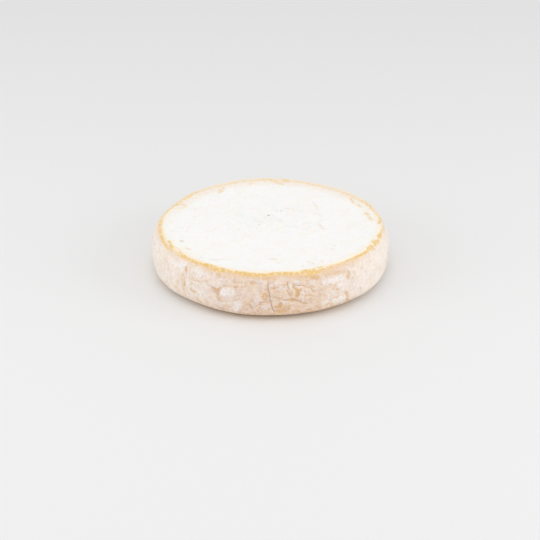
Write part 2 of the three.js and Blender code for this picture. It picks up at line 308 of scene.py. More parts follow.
# Marks on the top: (half width in mm, strength, (x, y) points in mm)
TOP_STREAKS = [
    (0.6, 0.25, [(25.7, 30.3), (27.4, 24.5), (28.5, 20.1)]),
    (0.6, 0.35, [(28.2, 2.4), (29.8, -1.6), (31.2, -5.6)]),
    (0.6, 0.3, [(-34.4, -46.2), (-31.5, -48.2)]),
    (1, 0.7, [(-51.5, -23), (-51, -23.4)]),
    (0.8, 0.5, [(-48.6, -32.3), (-46.4, -34)]),
    (0.7, 0.4, [(23.7, -52.2), (24.6, -52.4)]),
    (0.7, 0.4, [(29.1, -49.3), (29.6, -49.9)]),
    (0.8, 0.4, [(-33, -47.2), (-30.6, -46.7)]),
    (0.8, 0.2, [(-28.4, -46.3), (-22.8, -46.7)]),
    (0.9, 0.4, [(0.1, -46.1), (3, -46.6)]),
    (0.8, 0.45, [(4.5, -51.2)]),
    (0.8, 0.4, [(18.3, -55)]),
    (0.8, 0.45, [(21.8, -49.9)]),
    (0.9, 0.5, [(35.8, -33.1)]),
    (0.7, 0.35, [(36.9, -28.7)]),
    (0.7, 0.35, [(34.3, -49.4)]),
    (0.9, 0.4, [(10.3, 21.7)]),
    (0.8, 0.25, [(-17.9, 0.8)]),
    (0.8, 0.25, [(-19, -6.5)]),
    (0.7, 0.25, [(-11.7, -0.3)]),
    (0.8, 0.25, [(-49, -10)]),
    (0.7, 0.4, [(-55.5, -31.2), (-53.1, -34.7), (-51.3, -36.3)]),
]
TOP_SPECKS = [
    (0.7, 0.9, [(-1.1, 13.1)]),
    (0.6, 0.5, [(6.4, 18.9)]),
    (0.5, 0.4, [(4, 19.6)]),
    (0.6, 0.3, [(-6.7, 0.5)]),
    (1.6, 0.08, [(-9.2, 5.8), (-6, 4.6)]),
    (1.4, 0.07, [(0.6, 7.4), (3.6, 8.2)]),
]
HAZE = (18, 1, [(-6, 8), (16, 8)])
RIM_BLOTS = [
    (1.1, 0.6, [(65.2, 5.5), (64.2, 11.5)]),
    (1.6, 0.4, [(60, 23), (56, 31)]),
    (2.4, 0.3, [(52.5, 34.5), (47.5, 39.5)]),
    (1.5, 0.4, [(59.6, 5), (58, 10), (56.6, 15)]),
    (1.2, 0.4, [(53.7, 23.3), (52, 26.1)]),
    (1.1, 0.5, [(49.7, 28.9), (48.5, 34.6)]),
    (1.4, 0.5, [(-58.6, 25.3), (-54.6, 28.2), (-51.9, 26.9)]),
    (1.2, 0.35, [(-56.4, 21.1), (-50.6, 24.4)]),
    (1.6, 0.6, [(-52, 36), (-48.2, 41.4)]),
    (1.6, 0.4, [(-31.2, 45), (-28.6, 51.6)]),
    (1.5, 0.35, [(-13.1, 55.6), (-11.9, 59)]),
    (1.3, 0.5, [(-4.5, 63.2), (-0.2, 62)]),
    (1.3, 0.5, [(1, 60.9), (7.8, 56.3)]),
    (1.8, 0.7, [(8.6, 63), (10.4, 60.6)]),
]
RIM_GAPS = [
    (0.7, 0.7, [(-60, -24.2), (-58.5, -29.2)]),
    (2, 0.8, [(65.4, -2.6), (62.8, -5)]),
    (1.5, 0.8, [(-53.6, 32.6), (-51.4, 31.2)]),
    (1.6, 0.7, [(12, 62.4), (14.4, 62)]),
]
# Bearings away from the flanks, where the side is not painted paler as if lit by the side lamps: (waves
# round the cheese, share, bearing of one crest)
OFF_FLANK_LIGHT_WAVES = [(2, 0.4, 0), (4, 0.15, 8)]


def linear(red, green, blue):
    """A colour given as 0 to 255 screen values, as the linear values that Blender's colour sockets take."""
    def channel(value):
        share = value / 255
        return share / 12.92 if share <= 0.04045 else ((share + 0.055) / 1.055) ** 2.4
    return channel(red), channel(green), channel(blue)


def length_of(name, description, value):
    return FloatProperty(
        name=name, description=description, default=value, min=0, precision=4, unit="LENGTH"
    )


def power_of(name, description, value):
    return FloatProperty(name=name, description=description, default=value, min=0, unit="POWER")


def colour_of(name, description, *screen):
    return FloatVectorProperty(
        name=name, description=description, default=linear(*screen), min=0, max=1, size=3, subtype="COLOR"
    )


class RindShape(PropertyGroup):
    """Sizes of the cheese's section, and how finely the rind is meshed"""

    diameter: length_of("Diameter", "Width of the cheese over its belly", 0.140)
    height: length_of("Height", "Height of the lip's crest over the foot", 0.0285)
    foot_radius: length_of("Foot radius", "Radius of the flat that the cheese rests on", 0.055)
    heel_height: length_of("Heel height", "How far the rounded lower edge rises", 0.0065)
    heel_inset: length_of("Heel inset", "How far inside the full radius the heel ends", 0.0005)
    belly_height: length_of("Belly height", "Height where the side bulges most", 0.014)
    belly_swell: length_of("Belly swell", "How far the side's guide points stand out", 0.00035)
    shoulder_drop: length_of("Shoulder drop", "How far under the top the side begins to turn in", 0.0075)
    rim_radius: length_of("Rim radius", "Radius of the ochre rim line", 0.0657)
    rim_drop: length_of("Rim drop", "How far the rim line lies under the lip's crest", 0.00095)
    lip_radius: length_of("Lip radius", "Radius of the crest of the pressed lip", 0.0639)
    lip_width: length_of("Lip width", "From the lip's crest in to the level of the top", 0.0055)
    lip_rise: length_of("Lip rise", "How far the crest stands over the top just inside it", 0.0005)
    dish_edge: length_of("Dish edge", "From the lip's inner edge in to where the top begins to sink", 0.004)
    dish_depth: length_of("Dish depth", "How far the middle of the top has sunk", 0.0007)
    crack_depth: length_of("Crack depth", "Depth of the cracks in the side", 0.00045)
    ring_gap: length_of("Ring gap", "Distance between the rings of the mesh up the side", 0.0006)
    heel_fullness: FloatProperty(
        name="Heel fullness",
        description="How square the heel is",
        default=0.6,
        min=0,
        max=1,
        subtype="FACTOR",
    )
    round_steps: IntProperty(
        name="Round steps",
        description="Points in each ring, a multiple of 4",
        default=576,
        min=64,
        max=720,
        step=4,
    )


class RindColours(PropertyGroup):
    """Colours of the rind, from its top down to its foot"""

    bloom: colour_of("Bloom", "The dry white bloom over the top", 250, 249, 247)
    bloom_cream: colour_of("Creamy bloom", "Thin places in the bloom of the top", 249, 245, 234)
    bloom_pink: colour_of("Pinkish bloom", "Faint pinkish places in the top", 249, 242, 237)
    bloom_grey: colour_of("Greyish bloom", "Faint grey haze in the top", 240, 242, 238)
    speck: colour_of("Speck", "Brownish specks in the top", 218, 190, 148)
    dark_speck: colour_of("Dark speck", "The few dark specks in the top", 128, 122, 100)
    lip: colour_of("Lip", "The cream lip inside the rim line", 250, 231, 198)
    band: colour_of("Band", "The pinkish cream band inside the rim at the back", 247, 235, 223)
    pale_brown: colour_of("Pale brown", "Brownish blotches in that band", 229, 205, 172)
    rim: colour_of("Rim line", "The ochre line where the side meets the top", 233, 197, 130)
    rim_deep: colour_of("Deep rim line", "The deepest ochre in that line", 222, 177, 96)
    rim_pale: colour_of("Pale rim line", "Worn places in the ochre line", 246, 221, 178)
    apricot: colour_of("Apricot", "The warm band under the rim line", 235, 204, 171)
    # Painted light: the flanks' skin, painted paler as if lit by the side lamps.
    painted_lit_flank: colour_of("Pale side", "Dry, pale skin at the flanks", 247, 237, 228)
    side: colour_of("Side", "The pinkish beige skin of the side", 240, 220, 209)
    side_warm: colour_of("Warm side", "Yellower patches of the side", 239, 217, 190)
    # Painted light: a paler, lit copy of the veins' colour, used at the flanks.
    painted_lit_vein: colour_of("Pale vein", "Beige veins and streaks at the flanks", 229, 214, 194)
    side_pink: colour_of("Pink side", "Pinkish brown veins and streaks in the side", 219, 190, 176)
    mould: colour_of("Mould", "White patches of mould on the side", 246, 240, 236)
    stain: colour_of("Stain", "Ochre stains on the side", 222, 179, 124)
    brown_stain: colour_of("Brown stain", "Pinkish brown stains on the side", 219, 183, 154)
    # Partly the seam's own brown, partly painted shade in the front crease.
    crack: colour_of("Crack", "The bottom of the cracks", 208, 168, 126)
    seam: colour_of("Seam", "The thin front crease", 196, 164, 148)
    # The fringe's own orange-brown, lightened towards white: partly painted light against the floor's
    # shade.
    foot: colour_of("Foot", "The orange-brown fringe along the lower edge", 252, 216, 170)


class StudioSettings(PropertyGroup):
    """The floor, the light and the camera"""

    floor: colour_of("Floor", "The plain pale floor", 236, 236, 236)
    sky: FloatProperty(
        name="Sky", description="Strength of the even light from all round", default=0.75, min=0
    )
    overhead: power_of("Overhead", "Power of the light above", 1.28)
    left: power_of("Left light", "Power of the light at the left", 1.5)
    right: power_of("Right light", "Power of the light at the right", 1.82)
    front: power_of("Front light", "Power of the low light in front", 0.7)
    distance: length_of("Camera distance", "From the middle of the cheese to the camera", 1.3)
    lens: FloatProperty(name="Lens", description="Focal length in mm", default=146.4, min=10)
    down: FloatProperty(
        name="Camera angle",
        description="How far the camera looks down",
        default=math.radians(26.03),
        subtype="ANGLE",
    )


class Wire:
    """An output of a node. Arithmetic on it adds Math nodes, or Vector Math nodes where it is a vector."""

    def __init__(self, graph, socket):
        self.graph = graph
        self.socket = socket
        self.is_vector = socket.type in {"VECTOR", "RGBA"}

    def calculate(self, operation, *operands, output=0):
        kind = "ShaderNodeVectorMath" if self.is_vector else "ShaderNodeMath"
        return self.graph.add(kind, {"operation": operation}, dict(enumerate(operands)), output)

    def __add__(self, other):
        return self.calculate("ADD", self, other)

    def __radd__(self, other):
        return self.calculate("ADD", other, self)

    def __sub__(self, other):
        return self.calculate("SUBTRACT", self, other)

    def __rsub__(self, other):
        return self.calculate("SUBTRACT", other, self)

    def __mul__(self, other):
        return self.calculate("MULTIPLY", self, other)

    def __rmul__(self, other):
        return self.calculate("MULTIPLY", other, self)

    def __truediv__(self, other):
        return self.calculate("DIVIDE", self, other)

    def __rtruediv__(self, other):
        return self.calculate("DIVIDE", other, self)

    def __neg__(self):
        return self * -1

    def __pow__(self, power):
        return self.calculate("POWER", self, power)

    def cos(self):
        return self.calculate("COSINE", self)

    def exp(self):
        return self.calculate("EXPONENT", self)

    def least(self, other):
        return self.calculate("MINIMUM", self, other)

    def most(self, other):
        return self.calculate("MAXIMUM", self, other)

    def clamped(self):
        """This number held between 0 and 1."""
        return self.graph.add("ShaderNodeClamp", {}, {"Value": self})

    def dot(self, other):
        return self.calculate("DOT_PRODUCT", self, other, output="Value")

    def length(self):
        return self.calculate("LENGTH", self, output="Value")

    def along(self, direction):
        """A direction, scaled by this number."""
        inputs = {0: direction, "Scale": self}
        return self.graph.add("ShaderNodeVectorMath", {"operation": "SCALE"}, inputs)

    def parts(self):
        node = self.graph.add("ShaderNodeSeparateXYZ", {}, {0: self}).socket.node
        return [Wire(self.graph, socket) for socket in node.outputs]

    def fade(self, low, high, start=0.0, end=1.0):
        """Runs smoothly from start to end while this number goes from low to high."""
        inputs = {"Value": self, "From Min": low, "From Max": high, "To Min": start, "To Max": end}
        return self.graph.add("ShaderNodeMapRange", {"interpolation_type": "SMOOTHSTEP"}, inputs)

    def mix(self, first, second):
        """The first colour where this number is 0, and the second where it is 1."""
        return self.graph.add("ShaderNodeMix", {"data_type": "RGBA"}, {0: self, 6: first, 7: second}, 2)


class Graph:
    """Adds nodes to one node tree, of a material or of Geometry Nodes."""

    def __init__(self, tree):
        self.tree = tree

    def add(self, kind, settings, inputs, output=0):
        node = self.tree.nodes.new(kind)
        for name, value in settings.items():
            setattr(node, name, value)
        for name, value in inputs.items():
            self.feed(node.inputs[name], value)
        return Wire(self, node.outputs[output]) if node.outputs else None

    def feed(self, socket, value):
        if isinstance(value, Wire):
            self.tree.links.new(value.socket, socket)
        elif socket.type == "RGBA":
            socket.default_value = (*value, 1)
        elif socket.type == "VECTOR" and isinstance(value, (int, float)):
            socket.default_value = (value, value, value)
        else:
            socket.default_value = value

    def noise(self, place, size, detail=2.0, roughness=0.5, distortion=0.0, output=0):
        """Soft noise from 0 to 1 whose blobs are about this many millimetres wide."""
        inputs = {"Vector": place, "Scale": 1 / size, "Detail": detail, "Roughness": roughness}
        return self.add("ShaderNodeTexNoise", {}, {**inputs, "Distortion": distortion}, output)

    def cell_edges(self, place, size):
        """How far a place is from the nearest border between cells of about this many millimetres."""
        settings = {"feature": "DISTANCE_TO_EDGE"}
        return self.add("ShaderNodeTexVoronoi", settings, {"Vector": place, "Scale": 1 / size}) * size

    def dots(self, place, size):
        """How far a place is from the nearest of the points strewn about this many millimetres apart."""
        return self.add("ShaderNodeTexVoronoi", {}, {"Vector": place, "Scale": 1 / size}, "Distance") * size


def stretch_group(tree_type):
    """A node group that adds one straight stretch of a soft mark to a mask."""
    tree = bpy.data.node_groups.new("mark_stretch", tree_type)
    for name in ("Here", "Start", "Step"):
        tree.interface.new_socket(name, in_out="INPUT", socket_type="NodeSocketVector")
    for name in ("Half width", "Strength", "Mask"):
        tree.interface.new_socket(name, in_out="INPUT", socket_type="NodeSocketFloat")
    tree.interface.new_socket("Mask", in_out="OUTPUT", socket_type="NodeSocketFloat")
    graph = Graph(tree)
    ends = graph.add("NodeGroupInput", {}, {}).socket.node.outputs
    here, start, step, half_width, strength, mask = [Wire(graph, socket) for socket in ends[:-1]]
    offset = here - start
    share = (offset.dot(step) / step.dot(step).most(1e-6)).clamped()
    distance = (offset - share.along(step)).length() / half_width
    shown = distance.fade(0.2, 1.7, 1, 0) * strength
    graph.add("NodeGroupOutput", {}, {"Mask": mask.most(shown)})
    return tree


def placed(marks, place_of):
    """The same marks, with each pair of numbers on their routes turned into a place."""
    return [(width, strength, [place_of(*pair) for pair in route]) for width, strength, route in marks]


class Skin:
    """Where a point lies on the rind, in millimetres, and what its relief and its colours share."""

    def __init__(self, graph, place, shape):
        self.graph = graph
        self.place = place
        self.shape = shape
        self.radius = shape.diameter / 2 / MM
        self.top = shape.height / MM
        self.shoulder = self.top - shape.shoulder_drop / MM
        self.rim_radius = shape.rim_radius / MM
        self.rim_height = self.top - shape.rim_drop / MM
        x, y, self.z = place.parts()
        self.r = (x * x + y * y) ** 0.5
        self.bearing = x.calculate("ARCTAN2", x, -y)
        self.stretch = stretch_group(graph.tree.bl_idname)
        stretch = self.radius / self.r
        self.wall = graph.add("ShaderNodeCombineXYZ", {}, {0: x * stretch, 1: y * stretch, 2: self.z})
        wobble = (graph.noise(self.wall, 3.2, 3, 0.6, output="Color") - 0.5) * 2
        self.wavering = self.wall + wobble
        self.wavering_top = (place + wobble) * (1, 1, 0)
        run = graph.add("ShaderNodeCombineXYZ", {}, {0: self.bearing * self.radius, 1: self.rim_run()})
        self.wavering_rim = run + wobble * (0.5, 0.5, 0)
        self.crumbs = graph.noise(place, 1.2, 3, 0.6)

    def rim_run(self):
        """About how far a point is from the rim line: positive down the side, negative in over the top."""
        outwards, downwards = 0.75, 0.7
        run = (self.r - self.rim_radius) * outwards + (self.rim_height - self.z) * downwards
        return run.most(self.top / 2 - self.z)

    def arc(self, middle, reach):
        """1 at a bearing, down to 0 this many degrees to either side of it."""
        return (self.bearing - math.radians(middle)).cos().fade(math.cos(math.radians(reach)), 1)

    def on_top(self):
        return self.z.fade(self.shoulder, self.rim_height)

    def on_side(self):
        below_rim = self.z.fade((self.shoulder + self.top) / 2, self.rim_height, 1, 0)
        return self.z.fade(0, self.shape.heel_height / MM) * below_rim

    def near_rim(self):
        lip_radius, lip_width = self.shape.lip_radius / MM, self.shape.lip_width / MM
        return self.on_top() * self.r.fade(lip_radius - 2 * lip_width, lip_radius)

    def waves(self, waves):
        return sum(
            (self.bearing * count - math.radians(count * crest)).cos() * height
            for count, height, crest in waves
        )

    def off_flank_light(self):
        """How far a bearing is from the flanks' painted light: 1 in front and behind, down to 0 at the
        flanks, which are painted paler and plainer as if lit by the side lamps.
        """
        typical = 0.45
        return (self.waves(OFF_FLANK_LIGHT_WAVES) + typical).clamped()

    def wall_point(self, bearing, height):
        turn = math.radians(bearing)
        return Vector((self.radius * math.sin(turn), -self.radius * math.cos(turn), height))

    def marks(self, here, marks):
        """A soft mask of marks, each a half width, a strength and the points that it runs through."""
        kind = self.graph.tree.bl_idname.replace("Tree", "Group")
        mask = 0
        for half_width, strength, points in marks:
            for start, end in zip(points, points[1:] or points):
                inputs = {"Here": here, "Start": tuple(start), "Step": tuple(end - start), "Mask": mask}
                inputs |= {"Half width": half_width, "Strength": strength}
                mask = self.graph.add(kind, {"node_tree": self.stretch}, inputs)
        return mask

    def side_marks(self, marks, here=None):
        return self.marks(here or self.wavering, placed(marks, self.wall_point))

    def top_marks(self, marks):
        return self.marks(self.wavering_top, placed(marks, lambda x, y: Vector((x, y, 0))))

    def rim_marks(self, marks):
        degree = self.radius * math.pi / 180
        return self.marks(self.wavering_rim, placed(marks, lambda x, y: Vector((x * degree, y, 0))))

    def soft_masks(self):
        """The broad marks, which the mesh's points are close enough to carry."""
        rim_line = self.rim_marks(RIM_STROKES).most(self.top_marks(RIM_BLOTS) * self.on_top())
        masks = (
            self.side_marks(MOULD),
            self.side_marks(STAINS),
            self.side_marks(BROWN_STAINS),
            rim_line.least(1 - self.top_marks(RIM_GAPS)),
            self.top_marks([HAZE]),
            self.top_marks(TOP_STREAKS),
        )
        return dict(zip(SOFT_MASKS, masks))

    def stored(self, name):
        return self.graph.add("ShaderNodeAttribute", {"attribute_name": name}, {}, "Fac")

    def ragged(self, mask, solid=1.0):
        """A soft mask with crumbled edges, broken into islands where it is weak."""
        return (mask * self.crumbs.fade(0.3, 0.7, 0.5, 1.7)).fade(0.2, 1, 0, solid)


def section_rings(shape):
    """Rings of the smooth section as (radius, height), from the foot's edge to where the top sinks."""
    radius = shape.diameter / 2
    shoulder = shape.height - shape.shoulder_drop
    foot = Vector((shape.foot_radius, 0))
    heel_top = Vector((radius - shape.heel_inset, shape.heel_height))
    rim = Vector((shape.rim_radius, shape.height - shape.rim_drop))
    crest = Vector((shape.lip_radius, shape.height))
    nose = Vector(((rim.x + crest.x) / 2, shape.height))
    inner_lip = Vector((shape.lip_radius - shape.lip_width, shape.height - shape.lip_rise))
    dish = inner_lip - Vector((shape.dish_edge, 0))
    fullness = shape.heel_fullness
    stretches = [
        (
            foot,
            Vector((foot.x + fullness * (radius - foot.x), 0)),
            Vector((heel_top.x - shape.heel_inset, (1 - fullness) * heel_top.y)),
            heel_top,
        ),
        (
            heel_top,
            Vector((radius + shape.belly_swell, shape.belly_height)),
            Vector((radius + shape.belly_swell, shoulder)),
            rim,
        ),
        (rim, rim.lerp(nose, 2 / 3), crest.lerp(nose, 2 / 3), crest),
        (crest, Vector((shape.lip_radius - shape.lip_width / 2, crest.y)), inner_lip, dish),
    ]
    rings = [foot]
    for stretch in stretches:
        rough = interpolate_bezier(*stretch, 9)
        length = sum((b - a).length for a, b in zip(rough, rough[1:]))
        count = math.ceil(length / shape.ring_gap)
        rings += interpolate_bezier(*stretch, count + 1)[1:]
    return rings


def start_round(shape, rings):
    """Turns the section into a mesh: a circle at the foot's edge, extruded ring by ring up to the top."""
    bpy.ops.object.select_all(action="DESELECT")
    bpy.ops.mesh.primitive_circle_add(vertices=shape.round_steps, radius=rings[0].x)
    piece = bpy.context.object
    bpy.ops.object.mode_set(mode="EDIT")
    bpy.ops.mesh.select_mode(type="EDGE")
    bpy.ops.mesh.select_all(action="SELECT")
    for ring, following in zip(rings, rings[1:]):
        bpy.ops.mesh.extrude_edges_move(TRANSFORM_OT_translate={"value": (0, 0, following.y - ring.y)})
        widening = following.x / ring.x
        bpy.ops.transform.resize(value=(widening, widening, 1), center_override=(0, 0, following.y))
    bpy.ops.mesh.fill_grid()
    bpy.ops.mesh.select_all(action="DESELECT")
    bpy.ops.mesh.select_non_manifold()
    bpy.ops.mesh.fill_grid()
    bpy.ops.mesh.select_all(action="SELECT")
    bpy.ops.mesh.normals_make_consistent(inside=False)
    bpy.ops.object.mode_set(mode="OBJECT")
    bpy.ops.object.shade_smooth()
    return piece


def crease(skin, bearing, lean, depth, half_width):
    """How deep one crease is at each point, in millimetres."""
    middle = skin.z * math.radians(lean / skin.top) + math.radians(bearing - lean / 2)
    turn = skin.bearing - middle
    across = turn.calculate("WRAP", turn, math.pi, -math.pi) * (skin.radius / half_width)
    return (-(across * across)).exp() * depth


def relief(skin, masks):
    """How far each point of the smooth section is moved, in millimetres, as a vector."""
    shape, graph = skin.shape, skin.graph
    x, y, z = skin.place.parts()

    lumps = sum(
        (skin.bearing * count + math.radians(shift)).cos()
        * (z * (2 * math.pi / length) + math.radians(2 * shift)).cos()
        * size
        for count, length, size, shift in SIDE_LUMPS
    )
    creases = reduce(Wire.most, [crease(skin, *numbers) for numbers in CREASES])
    depth = shape.crack_depth / MM
    cracks = skin.side_marks([(2 * half_width, depth, route) for half_width, _, route in CRACKS])
    patches = masks["mould"].fade(0.1, 0.9, 0, 0.15) - masks["stains"].fade(0.2, 1, 0, 0.1)
    grain = graph.noise(skin.place, 5.5, 4, 0.6) - 0.5
    outwards = (
        skin.waves(PLAN_WAVES) * (skin.r / skin.radius)
        + skin.near_rim() * skin.waves(RIM_WAVES)
        + skin.on_side() * (lumps - creases - cracks + patches + grain * 0.55)
    )

    swells = 0
    for length, size, towards, shift in TOP_SWELLS:
        along = x * math.sin(math.radians(towards)) - y * math.cos(math.radians(towards))
        swells = swells + (along * (2 * math.pi / length) + math.radians(shift)).cos() * size
    dish_edge = (shape.lip_radius - shape.lip_width - shape.dish_edge) / MM
    sinking = (1 - (skin.r / dish_edge) ** 2).most(0) * (shape.dish_depth / MM)
    lift = skin.on_top() * (swells - sinking + grain * 0.25) + skin.near_rim() * skin.waves(LIP_WAVES)

    share = outwards / skin.r.most(1)
    return graph.add("ShaderNodeCombineXYZ", {}, {0: x * share, 1: y * share, 2: lift})


def apply_relief(piece, shape):
    """Moves the smooth rind's points by the relief, and keeps their old places and their marks."""
    tree = bpy.data.node_groups.new("rind_relief", "GeometryNodeTree")
    tree.interface.new_socket("Geometry", in_out="INPUT", socket_type="NodeSocketGeometry")
    tree.interface.new_socket("Geometry", in_out="OUTPUT", socket_type="NodeSocketGeometry")
    graph = Graph(tree)
    place = graph.add("GeometryNodeInputPosition", {}, {})
    skin = Skin(graph, place * (1 / MM), shape)
    kept = graph.add("NodeGroupInput", {}, {})
    masks = skin.soft_masks()
    for name, value in {REST_PLACE: place, **masks}.items():
        settings = {"data_type": "FLOAT_VECTOR" if value.is_vector else "FLOAT", "domain": "POINT"}
        inputs = {"Geometry": kept, "Name": name, "Value": value}
        kept = graph.add("GeometryNodeStoreNamedAttribute", settings, inputs)
    moved = graph.add("GeometryNodeSetPosition", {}, {"Geometry": kept, "Offset": relief(skin, masks) * MM})
    graph.add("NodeGroupOutput", {}, {0: moved})
    modifier = piece.modifiers.new("Relief", "NODES")
    modifier.node_group = tree
    bpy.ops.object.modifier_apply(modifier=modifier.name)


def centre_on_solid(piece, low, high):
    """Slides the mesh until its outline's middle and its foot are where the CAD solid's are."""
    corners = [Vector(corner) for corner in piece.bound_box]
    own_low = Vector(map(min, zip(*corners)))
    own_high = Vector(map(max, zip(*corners)))
    shift = (low + high - own_low - own_high) / 2
    shift.z = low.z - own_low.z
    piece.data.transform(Matrix.Translation(shift))


def side_colour(skin, colours, off_flank_light):
    """The side: mottled, wrinkled skin with streaks, cracks and stains, and mould dried on in patches; the
    flanks are painted paler and plainer, a painted light from the side lamps, and the wrinkles and grain
    carry painted shade and light.
    """
    graph = skin.graph
    low = skin.z.fade(2, 10, 1, 0)
    mottle = graph.noise(skin.place, 3.6, 4, 0.65)
    patches = graph.noise(skin.place, 7, 5, 0.65)
    streaks = graph.noise(skin.wall * (1, 1, 0.25), 1.4, 3, 0.65)
    ripples = (graph.noise(skin.wall * (1, 1, 1.4), 4.5, 3, 0.55, 0.5) * 38).cos()
    fine = streaks + (skin.crumbs - streaks) * off_flank_light.fade(0, 0.6, 0.35, 1)

    # From here on the flanks are painted paler, with fainter warm patches, paler veins and fewer marks:
    # painted light from the side lamps.
    colour = (off_flank_light + (mottle - 0.5) * 0.9).fade(0.05, 0.9).mix(colours.painted_lit_flank, colours.side)
    warm = (patches - skin.arc(12, 28) * 0.08).fade(0.36, 0.54, 0.65, 0) * off_flank_light.fade(0, 1, 0.4, 1)
    colour = warm.mix(colour, colours.side_warm)
    veins = off_flank_light.mix(colours.painted_lit_vein, colours.side_pink)
    colour = streaks.fade(0.48, 0.72, 0, 0.35).mix(colour, veins)
    colour = patches.fade(0.5, 0.66, 0, 0.5).mix(colour, colours.mould)
    folds = (ripples * (mottle + low * 0.1).fade(0.35, 0.6)).fade(0.2, 1) * off_flank_light.fade(0, 1, 0.45, 0.75)
    colour = folds.mix(colour, veins)

    gate = graph.noise(skin.place, 7, 2, 0.5).fade(0.46, 0.62)
    net = graph.cell_edges(skin.wavering, 9).fade(0.1, 0.6, 1, 0) * gate * off_flank_light.fade(0, 1, 0.1, 0.45)
    colour = net.mix(colour, colours.stain)
    blotches = (mottle - patches * 0.5 + low * 0.06).fade(0.3, 0.42) * off_flank_light.fade(0, 1, 0.1, 0.5)
    colour = blotches.mix(colour, colours.stain)
    speckle = (fine + low * 0.1 - (1 - off_flank_light) * 0.1).fade(0.55, 0.72, 0, 0.5)
    colour = speckle.mix(colour, colours.stain)

    dried = skin.stored("mould") * patches.fade(0.3, 0.65, 0.6, 1.4)
    colour = dried.fade(0.15, 1.2, 0, 0.85).mix(colour, colours.mould)
    colour = skin.ragged(skin.stored("stains"), 0.9).mix(colour, colours.stain)
    colour = skin.ragged(skin.stored("brown_stains"), 0.95).mix(colour, colours.brown_stain)
    colour = skin.ragged(skin.side_marks(CRACKS), 0.95).mix(colour, colours.crack)
    # The seam's line: brown, and partly painted shade along the bottom of the front crease.
    steadier = skin.wall * 0.6 + skin.wavering * 0.4
    colour = skin.ragged(skin.side_marks(SEAM, steadier)).mix(colour, colours.seam)
    # Painted shade and light across the wrinkles.
    colour = colour * ripples.fade(-1, 1, 0.97, 1.02)
    grains = graph.noise(skin.place, 2, 4, 0.7)
    colour = (grains.fade(0.5, 0.62, 0, 0.6) * low * off_flank_light).mix(colour, colours.stain)
    # Near the foot: painted shade and light in the coarser grain, and the low front painted lighter, a
    # painted light against the floor's shade.
    colour = colour * (((0.5 - grains) * off_flank_light * 0.9 + skin.arc(7, 13) * 0.055) * low + 1)
    # Painted shade in the hollows of the fine grain.
    return colour * fine.fade(0.3, 0.7, 0.88, 1.07)


def top_colour(skin, colours):
    """The top: white bloom with faint creamy, pinkish and grey places, and a few specks."""
    graph = skin.graph
    creamy = graph.noise(skin.place, 5, 6, 0.7).fade(0.46, 0.72, 0, 0.9)
    colour = creamy.mix(colours.bloom, colours.bloom_cream)
    pinkish = graph.noise(skin.place, 8, 6, 0.7).fade(0.5, 0.72, 0, 0.8)
    colour = pinkish.mix(colour, colours.bloom_pink)
    haze = skin.stored("haze") * graph.noise(skin.place, 4, 4, 0.6).fade(0.45, 0.7)
    colour = haze.mix(colour, colours.bloom_grey)
    few = graph.noise(skin.place, 12, 2, 0.5).fade(0.5, 0.6)
    specks = graph.dots(skin.place, 3.4).fade(0.25, 0.6, 0.45, 0) * few
    colour = specks.mix(colour, colours.speck)
    colour = (skin.stored("streaks") * skin.crumbs.fade(0.3, 0.6, 0.4, 1)).mix(colour, colours.speck)
    colour = skin.top_marks(TOP_SPECKS).mix(colour, colours.dark_speck)
    # Painted shade in the fine grain of the top.
    return colour * skin.crumbs.fade(0.3, 0.7, 0.98, 1.015)


def rind_colour(skin, colours):
    """The whole rind: the side, the top, and the rim line between the cream lip and the warm band."""
    graph = skin.graph
    ragged = graph.noise(skin.place, 3.2, 5, 0.65) - 0.5
    knots = graph.noise(skin.place, 2, 4, 0.65)
    run = skin.rim_run() + ragged * 1.8
    behind = skin.bearing.cos().fade(-0.8, 0.2, 1, 0)

    # Painted light: the flanks are painted paler and plainer, the foot's fringe fainter there, as if lit by
    # the side lamps.
    off_flank_light = skin.off_flank_light()
    side = side_colour(skin, colours, off_flank_light)
    fringe = (skin.z + ragged * 9).fade(0.3, 4.5, 1, 0) * off_flank_light.fade(0, 0.8, 0.25, 1)
    fringe = fringe * (1 - skin.arc(7, 16) * 0.35)
    # The foot's orange-brown fringe, its colour partly painted light against the floor's shade.
    side = (fringe * 0.9).mix(side, colours.foot)
    side = (fringe * knots.fade(0.54, 0.66, 0, 0.7)).mix(side, colours.stain)
    foot_radius = skin.shape.foot_radius / MM
    inside_foot = (skin.r + ragged * 12).fade(foot_radius - 7, foot_radius, 1, 0)
    underneath = inside_foot * skin.z.fade(0, 0.5, 1, 0)
    bloom = graph.noise(skin.place, 6, 5, 0.65).fade(0.4, 0.62).mix(colours.mould, colours.side_warm)
    side = underneath.mix(side, bloom * skin.crumbs.fade(0.3, 0.7, 0.94, 1.03))
    under_rim = (run + ragged * 6).fade(0.6, 4.5, 1, 0) * (skin.arc(8, 55) * 0.6 + 0.35)
    side = under_rim.mix(side, colours.apricot)

    top = top_colour(skin, colours)
    band = (run + ragged * 5).fade(-10, -3.5) * behind
    top = band.mix(top, colours.band)
    top = (band * knots.fade(0.52, 0.64, 0, 0.5)).mix(top, colours.pale_brown)
    bare = skin.arc(40, 30) * 0.5 + skin.arc(80, 18) * 0.45 + skin.arc(-6, 14) * 0.35 + behind * 0.45
    lip = (run + ragged * 2).fade(-4.6, -1) * (1 - bare).most(0)
    lip = lip.most(run.fade(-9.5, -4) * skin.arc(-52, 13) * 0.24)
    top = lip.mix(top, colours.lip)
    colour = run.fade(-0.9, -0.1).mix(top, side)

    line = skin.stored("rim_line")
    colour = (line.fade(0, 0.9) * 0.5).mix(colour, colours.rim_pale)
    tone = (knots + behind * 0.1).fade(0.46, 0.66).mix(colours.rim, colours.rim_pale)
    tone = line.fade(0.9, 1.25).mix(tone, colours.rim_deep)
    return skin.ragged(line * 1.3).mix(colour, tone)


